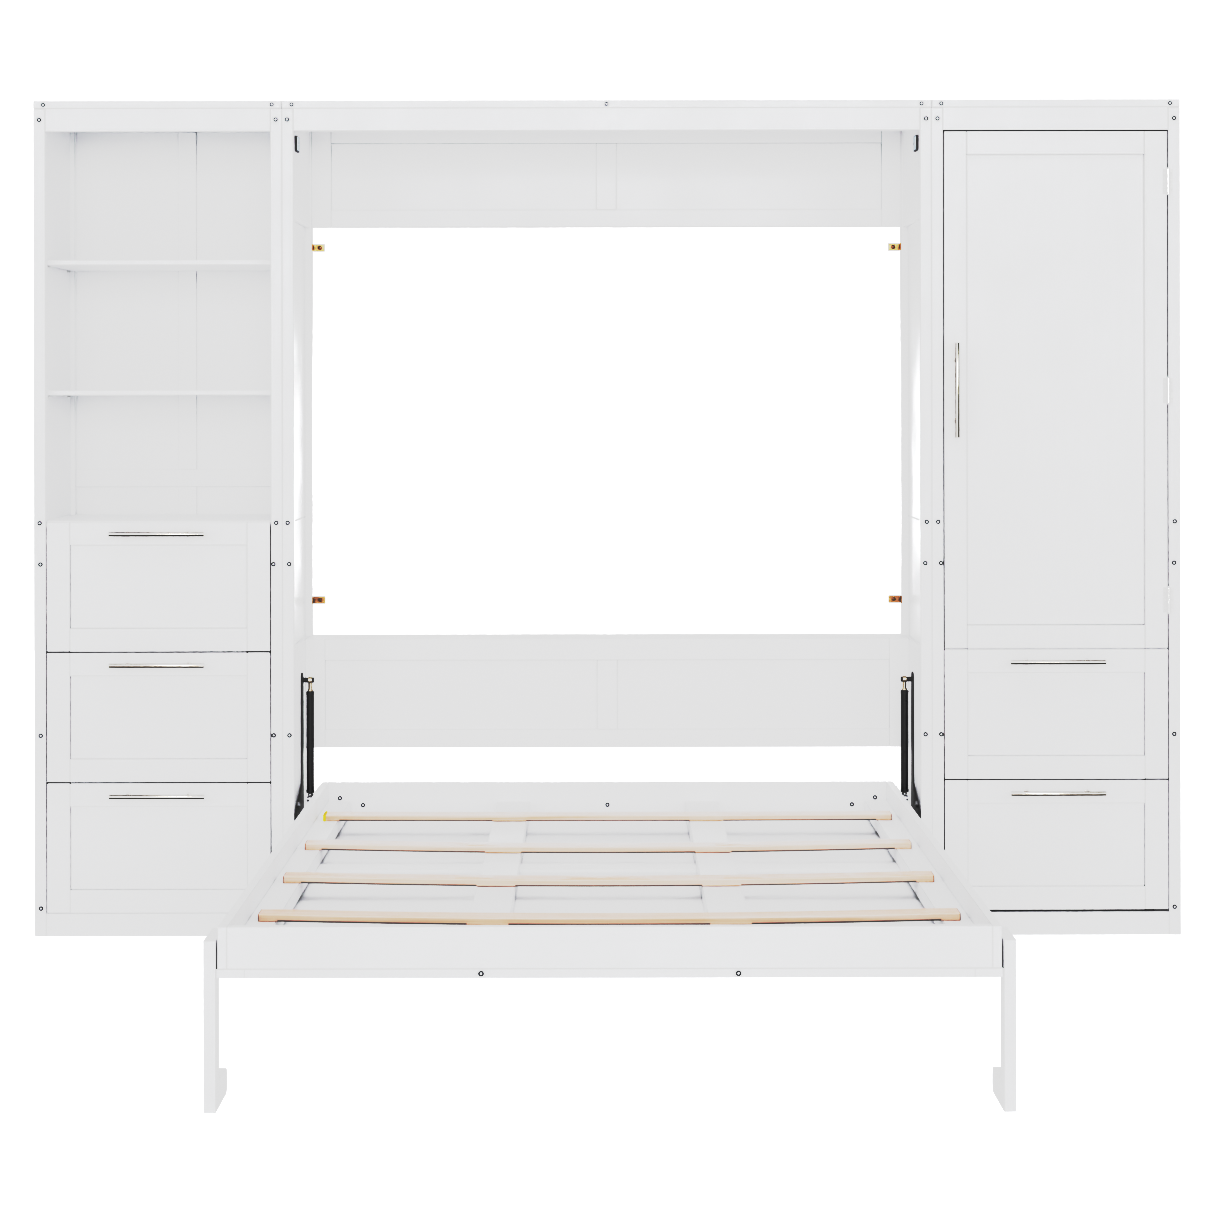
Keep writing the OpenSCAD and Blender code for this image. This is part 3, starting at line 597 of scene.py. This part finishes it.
def drawer_members(drawer):
    """The rolled steel members on both sides of a drawer box that run in the cabinet's channels,
    each with its screws."""
    low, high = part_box(drawer + "_box")
    depth, half, wall, lip = 0.0075, 0.017, 0.0013, 0.006
    middle = low.z + 0.075
    bm = bmesh.new()
    for face, out in ((low.x, -1), (high.x, 1)):
        def x(distance):
            return face + out * distance
        rim = [(x(0), middle - half), (x(0), middle + half), (x(depth), middle + half),
               (x(depth), middle + half - lip), (x(depth - wall), middle + half - lip),
               (x(depth - wall), middle + half - wall), (x(wall), middle + half - wall),
               (x(wall), middle - half + wall), (x(depth - wall), middle - half + wall),
               (x(depth - wall), middle - half + lip), (x(depth), middle - half + lip),
               (x(depth), middle - half)]
        channel(bm, rim, low.y + 0.006, high.y - 0.004)
    new_piece(drawer + "_members", bm, STEEL["y"], drawer, 0.0002)
    bm = bmesh.new()
    for face, out in ((low.x, -1), (high.x, 1)):
        places = [Vector((face + out * wall, low.y + part * (high.y - low.y), middle))
                  for part in (0.12, 0.5, 0.88)]
        screws(bm, SCREW, places, (out, 0, 0), 0.0038)
    new_piece(drawer + "_member_screws", bm, ZINC, drawer)


def hinge_details():
    """Screws in both leaves of each door hinge, and a finial on each end of the pins."""
    low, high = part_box("door_hinge_fixed")
    tops = levels("door_hinge_fixed", 2)
    span = 0.065  # a leaf's height
    centres = sorted({round(z + span / 2, 4) for z in tops
                      if any(abs(z + span - top) < 0.0004 for top in tops)})
    leaf_t, knuckle_r = 0.0015, 0.0045
    pin_x = (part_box("door_hinge_moving")[0].x + high.x) / 2
    pin_y = low.y + knuckle_r
    leaf_y = front_y - leaf_t
    screw_x, screw_pitch, screw_r = 0.0092, 0.022, 0.0026
    tip = [(0.0030, 0), (0.0036, 0.0008), (0.0034, 0.0018), (0.0022, 0.0030), (0.0006, 0.0035)]
    fixed, moving, finials = bmesh.new(), bmesh.new(), bmesh.new()
    for z in centres:
        heights = (z - screw_pitch, z, z + screw_pitch)
        for leaf, way in ((fixed, 1), (moving, -1)):
            places = [Vector((pin_x + way * screw_x, leaf_y, h)) for h in heights]
            screws(leaf, SCREW, places, (0, -1, 0), screw_r)
        for way in (-1, 1):
            lathe(finials, (pin_x, pin_y, z + way * span / 2), (0, 0, way), tip, 24)
    new_piece("hinge_screws_fixed", fixed, WHITE_METAL, "cabinet")
    new_piece("hinge_screws_moving", moving, WHITE_METAL, "wardrobe_door")
    new_piece("hinge_finials", finials, WHITE_METAL, "cabinet")


def bracket_screws():
    """A round-headed screw in each leg of the four wall brackets."""
    low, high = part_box("wall_brackets")
    half_height = 0.010
    bm = bmesh.new()
    for z in (low.z + half_height, high.z - half_height):
        for way, edge in ((-1, low.x), (1, high.x)):
            wall_leg = Vector((edge - way * 0.0198, high.y - 0.003, z))
            post_leg = Vector((edge - way * 0.0028, high.y - 0.018, z))
            screws(bm, SCREW, [wall_leg], (0, -1, 0), 0.0058)
            screws(bm, SCREW, [post_leg], (-way, 0, 0), 0.0042)
    new_piece("bracket_screws", bm, YELLOW_ZINC, "cabinet")


def catch_details():
    """Bright wear plates with two screws each on the inner faces of the bed's catches."""
    low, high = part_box("catch_plates")
    inner_x, plate_t = high.x - 0.0065, 0.0009  # the catches' inner face; the plate's thickness
    plates, heads = bmesh.new(), bmesh.new()
    for way in (-1, 1):
        inner = way * inner_x
        xs = sorted((inner, inner - way * plate_t))
        block(plates, (xs[0], low.y + 0.004, low.z + 0.002),
              (xs[1], high.y - 0.002, high.z - 0.002))
        places = [Vector((inner - way * plate_t, y, (low.z + high.z) / 2))
                  for y in (low.y + 0.014, high.y - 0.012)]
        screws(heads, SCREW, places, (-way, 0, 0), 0.0036)
    new_piece("catch_wear_plates", plates, BLUED, "cabinet", 0.0003)
    new_piece("catch_screws", heads, ZINC, "cabinet")


def strut_details(side):
    """End caps on a gas strut's tube and the lock nuts on its two end fittings."""
    low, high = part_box("strut_tube_" + side)
    x, y = (low.x + high.x) / 2, (low.y + high.y) / 2
    caps = bmesh.new()
    for z, radius, length in ((tube_low, 0.0107, 0.007), (tube_high - 0.009, 0.0105, 0.009),
                              (tube_low + 0.016, 0.01035, 0.0022)):
        drum(caps, (x, y, z), Z_AXIS, radius, length)
    new_piece("strut_caps_" + side, caps, BLACK, side + "_strut_tube")
    top_nut = [(0.0062, 0), (0.0070, 0.0008), (0.0070, 0.0042), (0.0062, 0.005)]
    low_nut = [(0.0058, 0), (0.0066, 0.0008), (0.0066, 0.0036), (0.0058, 0.0044)]
    nuts = bmesh.new()
    lathe(nuts, (x, y, tube_high + 0.0006), Z_AXIS, top_nut, 6)
    new_piece("strut_nut_top_" + side, nuts, BRASS, side + "_strut_tube")
    nuts = bmesh.new()
    lathe(nuts, (x, y, tube_low - 0.0070), Z_AXIS, low_nut, 6)
    new_piece("strut_nut_low_" + side, nuts, ZINC, side + "_strut_rod")


def shelf_pins():
    """Four white plastic pins under each loose shelf."""
    low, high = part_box("left_loose_shelves")
    undersides = levels("left_loose_shelves", 2)[::2]
    inset, gap, pin_r, drop = 0.045, 0.0009, 0.0025, 0.0027
    bm = bmesh.new()
    for z in undersides:
        for edge, way in ((low.x, -1), (high.x, 1)):
            for y in (low.y + inset, high.y - inset):
                place = (edge + way * gap, y, z - drop)
                for radius, length in ((pin_r, 0.010), (0.0042, 0.0012)):
                    drum(bm, place, (-way, 0, 0), radius, length, 0.0003, 20)
    new_piece("shelf_pins", bm, WHITE_PLASTIC, "cabinet")


def handle_collars(node, body, upright=False):
    """A thin collar around each foot of a bar handle where it meets the front."""
    low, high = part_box(node)
    centre = (low + high) / 2
    foot_spacing = 0.16
    collar = [(0.0066, 0), (0.0066, 0.0008), (0.0056, 0.0016), (0.0047, 0.0019)]
    bm = bmesh.new()
    for way in (-1, 1):
        step = way * foot_spacing / 2
        offset = Vector((0, 0, step)) if upright else Vector((step, 0, 0))
        place = Vector((centre.x, high.y, centre.z)) + offset
        lathe(bm, place, (0, -1, 0), collar, 28)
    new_piece(node + "_collars", bm, STEEL["x"], body)


def slat_band():
    """Yellow tape round the left end of the slat nearest the head."""
    low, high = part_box("bed_slats")
    width, thick = 0.060, 0.016  # a slat's own
    skin, reach = 0.0006, 0.005
    head_y = max(v.co.y for v in nodes["bed_slats"].data.vertices)
    bm = bmesh.new()
    x0, x1 = low.x - skin, low.x + reach
    y0, y1 = head_y - width - skin, head_y + skin
    z0, z1 = high.z - thick - skin * 0.3, high.z + skin
    block(bm, (x0, y0, z0), (x1, y0 + skin, z1))
    block(bm, (x0, y1 - skin, z0), (x1, y1, z1))
    block(bm, (x0, y0 + skin, z1 - skin), (x1, y1 - skin, z1))
    block(bm, (x0, y0 + skin, z0), (low.x, y1 - skin, z1 - skin))
    new_piece("slat_tape", bm, YELLOW_TAPE, "bed")


def door_catch():
    """Magnetic catch on the post beside the door's free edge, and its strike on the door."""
    post_w, part_up = 0.030, 0.62
    half_case, half_pole, half_strike = 0.021, 0.017, 0.018
    case_gap, pole_gap, strike_t = 0.0016, 0.0011, 0.0009  # behind the door's back face
    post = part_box("right_tower_frame")[0].x + post_w
    door_low, door_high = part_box("door")
    z = door_low.z + part_up * (door_high.z - door_low.z)
    back = door_high.y
    case = bmesh.new()
    block(case, (post + 0.0005, back + case_gap, z - half_case),
          (post + 0.0155, back + 0.030, z + half_case))
    new_piece("door_magnet", case, WHITE_PLASTIC, "cabinet", 0.0012)
    poles = bmesh.new()
    for x in (post + 0.004, post + 0.010):
        block(poles, (x, back + pole_gap, z - half_pole), (x + 0.0022, back + 0.004, z + half_pole))
    new_piece("door_magnet_poles", poles, ZINC, "cabinet", 0.0002)
    strike = bmesh.new()
    block(strike, (post + 0.003, back, z - half_strike),
          (post + 0.0145, back + strike_t, z + half_strike))
    new_piece("door_strike", strike, ZINC, "wardrobe_door", 0.0003)


def islands(node):
    """The corner boxes of a node's separate solids."""
    bm = bmesh.new()
    bm.from_mesh(nodes[node].data)
    bmesh.ops.remove_doubles(bm, verts=bm.verts, dist=JOIN)
    boxes, seen = [], set()
    for start in bm.verts:
        if start in seen:
            continue
        group, queue = [], [start]
        seen.add(start)
        while queue:
            v = queue.pop()
            group.append(v.co.copy())
            for other in (e.other_vert(v) for e in v.link_edges):
                if other not in seen:
                    seen.add(other)
                    queue.append(other)
        boxes.append((Vector(map(min, zip(*group))), Vector(map(max, zip(*group)))))
    bm.free()
    return boxes


def bolt_sockets(node, body):
    """Bright pin in the floor of each forward-facing bolt's hexagonal socket. Those bolts are
    the round solids that are thin along Y."""
    pin = [(0.0023, 0), (0.0023, 0.0013), (0.0019, 0.0018), (0.0008, 0.0019)]
    thin, as_good_as_round, floor_depth = 0.004, 0.0006, 0.0021
    bm = bmesh.new()
    for low, high in islands(node):
        size = high - low
        if size.y < thin and abs(size.x - size.z) < as_good_as_round:
            middle = (low + high) / 2
            lathe(bm, (middle.x, low.y + floor_depth, middle.z), (0, -1, 0), pin, 20)
    new_piece(node + "_sockets", bm, BOLT_PIN, body)


def plate_nuts():
    """A bright nut on a short stud low on the inner face of each pivot plate."""
    face_x, behind_front, stud_z = 0.8245, 0.050, 0.338
    nut = [(0.0092, 0), (0.0095, 0.0006), (0.0095, 0.0056), (0.0086, 0.0064)]
    bm = bmesh.new()
    for way in (-1, 1):
        place = Vector((way * face_x, front_y + behind_front, stud_z))
        lathe(bm, place, (-way, 0, 0), nut, 6)
        drum(bm, place, (-way, 0, 0), 0.0045, 0.0078)
    new_piece("plate_nuts", bm, ZINC, "cabinet")


def gap_shade_dust_panel(side):
    """A hardboard panel low in a tower, between the posts, under the lowest drawer. Its near-black
    tone is painted shade for the gap below the drawers.
    """
    low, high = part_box(side + "_tower_frame")
    clear, rail_t, panel_z, panel_t = 0.052, 0.0185, 0.046, 0.003
    bm = bmesh.new()
    block(bm, (low.x + clear, low.y + rail_t, panel_z),
          (high.x - clear, high.y - clear, panel_z + panel_t))
    new_piece(side + "_gap_shade_dust_panel", bm, GAP_SHADE_HARDBOARD, "cabinet")


def back_screws(side):
    """Columns of small screws that hold the back sheets to the posts and the middle batten."""
    low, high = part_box(side + "_tower_back")
    rows, inset, margin = 11, 0.016, 0.03
    middle, half_pitch = (low.x + high.x) / 2, 0.012
    columns = [low.x + inset, middle - half_pitch, middle + half_pitch, high.x - inset]
    rise = (high.z - low.z - 2 * margin) / (rows - 1)
    places = [Vector((x, high.y, low.z + margin + k * rise)) for x in columns for k in range(rows)]
    bm = bmesh.new()
    screws(bm, SCREW, places, (0, 1, 0), 0.0032)
    new_piece(side + "_back_screws", bm, ZINC, "cabinet")


SCREW = screw_pattern()
for drawer in DRAWERS:
    drawer_members(drawer)
    handle_collars(drawer + "_handle", drawer)
handle_collars("door_handle", "wardrobe_door", True)
hinge_details()
bracket_screws()
catch_details()
for side in ("left", "right"):
    strut_details(side)
    back_screws(side)
    gap_shade_dust_panel(side)
bolt_sockets("frame_bolts", "cabinet")
bolt_sockets("bed_bolts", "bed")
plate_nuts()
shelf_pins()
slat_band()
door_catch()


# ---- floor, light and camera -----------------------------------------------------------------

def floor():
    """Wide pale floor that fades into the backdrop."""
    mesh = bpy.data.meshes.new("floor")
    size = 40.0
    mesh.from_pydata([(-size, -size, 0), (size, -size, 0), (size, size, 0), (-size, size, 0)],
                     [], [(0, 1, 2, 3)])
    o = bpy.data.objects.new("floor", mesh)
    bpy.context.scene.collection.objects.link(o)
    t = Tree("pale_floor")
    grain = t.noise(t.scaled((1, 1, 1)), 3.0, 3)
    t.link(t.mix(t.spread(grain, 0, 1), (0.90, 0.90, 0.90), (0.93, 0.93, 0.93)), "Base Color")
    t.set(Roughness=0.8, Specular_IOR_Level=0.1, Emission_Color=(1, 1, 1, 1))
    seen = t.nodes.new("ShaderNodeLightPath").outputs["Is Camera Ray"]
    t.link(t.spread(seen, 0.10, 1.35, 0, 1), "Emission Strength")
    mesh.materials.append(t.material)


def softbox(name, place, target, width, height, watts):
    """Rectangular area light facing a target, unseen by the camera itself."""
    data = bpy.data.lights.new(name, "AREA")
    data.shape = "RECTANGLE"
    data.size = width
    data.size_y = height
    data.energy = watts
    o = bpy.data.objects.new(name, data)
    o.location = place
    o.rotation_euler = (Vector(target) - Vector(place)).to_track_quat("-Z", "Y").to_euler()
    o.visible_camera = False
    bpy.context.scene.collection.objects.link(o)


def studio():
    """White backdrop that the camera sees brighter than it lights, two side keys, a broad front
    fill that flattens the shade, and soft fills from above and behind."""
    world = bpy.data.worlds.new("white_studio")
    world.use_nodes = True
    tree = world.node_tree
    lit = tree.nodes["Background"]
    lit.inputs["Color"].default_value = (0.985, 0.99, 1.0, 1)
    lit.inputs["Strength"].default_value = 0.28
    seen = tree.nodes.new("ShaderNodeBackground")
    seen.inputs["Strength"].default_value = 1.5
    seen.inputs["Color"].default_value = (1, 1, 1, 1)
    ray = tree.nodes.new("ShaderNodeLightPath")
    mix = tree.nodes.new("ShaderNodeMixShader")
    tree.links.new(ray.outputs["Is Camera Ray"], mix.inputs["Fac"])
    tree.links.new(lit.outputs["Background"], mix.inputs[1])
    tree.links.new(seen.outputs["Background"], mix.inputs[2])
    tree.links.new(mix.outputs["Shader"], tree.nodes["World Output"].inputs["Surface"])
    bpy.context.scene.world = world
    softbox("key_left", (-4.2, -4.6, 2.5), (-0.5, 0.6, 1.2), 2.4, 2.4, 50)
    softbox("key_right", (4.2, -4.6, 2.5), (0.5, 0.6, 1.2), 2.4, 2.4, 50)
    softbox("front_fill", (0, -16.0, 3.6), (0, 0.7, 1.2), 8.0, 4.6, 1030)
    softbox("top_fill", (0, -1.2, 5.2), (0, -0.2, 0.4), 4.0, 3.0, 45)
    softbox("back_fill", (0, 9.0, 1.0), (0, 0.9, 1.1), 6.0, 1.6, 200)


def camera():
    """Level camera at standing eye height, square to the suite and far enough off for a long
    lens; a lens shift drops the frame to the suite."""
    distance, height, roll = 7.312, 1.424, 0.094
    data = bpy.data.cameras.new("camera")
    data.lens = 82.14
    data.sensor_width = 36.0
    data.shift_x = 0.0047
    data.shift_y = -0.1737
    data.clip_end = 100
    o = bpy.data.objects.new("camera", data)
    o.location = (-0.015, front_y - distance, height)
    o.rotation_euler = (math.radians(90), math.radians(roll), 0)
    bpy.context.scene.collection.objects.link(o)
    bpy.context.scene.camera = o


def tone_curve():
    """High-key print of a white object: whites from shade to full light lie close together, and
    the backdrop above them is paper white. Values in scene light, then printed light."""
    view = bpy.context.scene.view_settings
    view.view_transform = "Standard"
    view.use_curve_mapping = True
    mapping = view.curve_mapping
    paper = 1.25
    mapping.white_level = (paper, paper, paper)
    tones = [(0.02, 0.014), (0.10, 0.04), (0.16, 0.08), (0.21, 0.19), (0.26, 0.42), (0.31, 0.59),
             (0.38, 0.68), (0.48, 0.72), (0.60, 0.737), (0.70, 0.747), (0.80, 0.758), (0.90, 0.778),
             (1.00, 0.815), (1.12, 0.90)]
    curve = mapping.curves[3]  # the one for all three channels
    for light, print_light in tones:
        curve.points.new(light / paper, print_light)
    for point in curve.points:
        point.handle_type = "AUTO_CLAMPED"
    mapping.update()


floor()
studio()
camera()
tone_curve()
